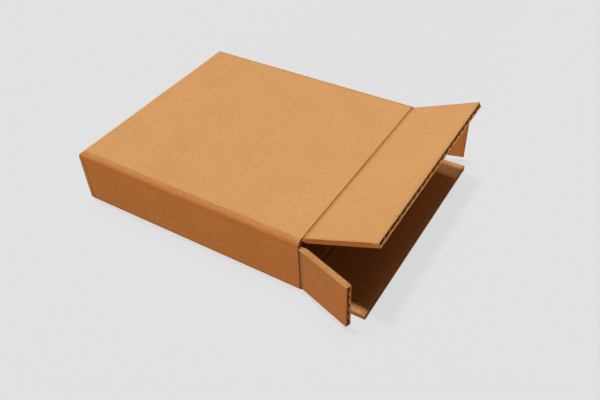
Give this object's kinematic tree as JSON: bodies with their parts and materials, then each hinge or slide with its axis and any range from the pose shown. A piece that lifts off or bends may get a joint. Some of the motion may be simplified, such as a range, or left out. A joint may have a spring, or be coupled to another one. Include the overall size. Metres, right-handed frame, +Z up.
{
  "type": "corrugated mailer box",
  "caption": "Shallow folded corrugated board box, glued shut at one end, with hinged top, base and side flaps standing open at the other.",
  "frame": {"origin": "centre of the underside of the sleeve, on the plane the box stands on", "axes": "+X out of the open end, +Z up, the front side panel faces -Y"},
  "size_m": [0.256, 0.2099, 0.0711],
  "materials": {
    "kraft_board": "matte"
  },
  "bodies": {
    "sleeve": {"box_sleeve": "kraft_board"},
    "top_flap_body": {"top_flap": "kraft_board"},
    "base_flap_body": {"base_flap": "kraft_board"},
    "front_side_flap_body": {"front_side_flap": "kraft_board"},
    "rear_side_flap_body": {"rear_side_flap": "kraft_board"}
  },
  "joints": [
    {"name": "top_flap_hinge", "type": "hinge", "parent": "sleeve", "child": "top_flap_body", "pos_m": [0.1, 0, 0.0485], "axis": [0, -1, 0], "range_deg": [-52, 147]},
    {"name": "base_flap_hinge", "type": "hinge", "parent": "sleeve", "child": "base_flap_body", "pos_m": [0.1, 0, 0], "axis": [0, -1, 0], "range_deg": [0, 13]},
    {"name": "front_flap_hinge", "type": "hinge", "parent": "sleeve", "child": "front_side_flap_body", "pos_m": [0.1, -0.0915, 0.02425], "axis": [0, 0, -1], "range_deg": [-108, 150]},
    {"name": "rear_flap_hinge", "type": "hinge", "parent": "sleeve", "child": "rear_side_flap_body", "pos_m": [0.1, 0.0915, 0.02425], "axis": [0, 0, 1], "range_deg": [-106, 152]}
  ]
}
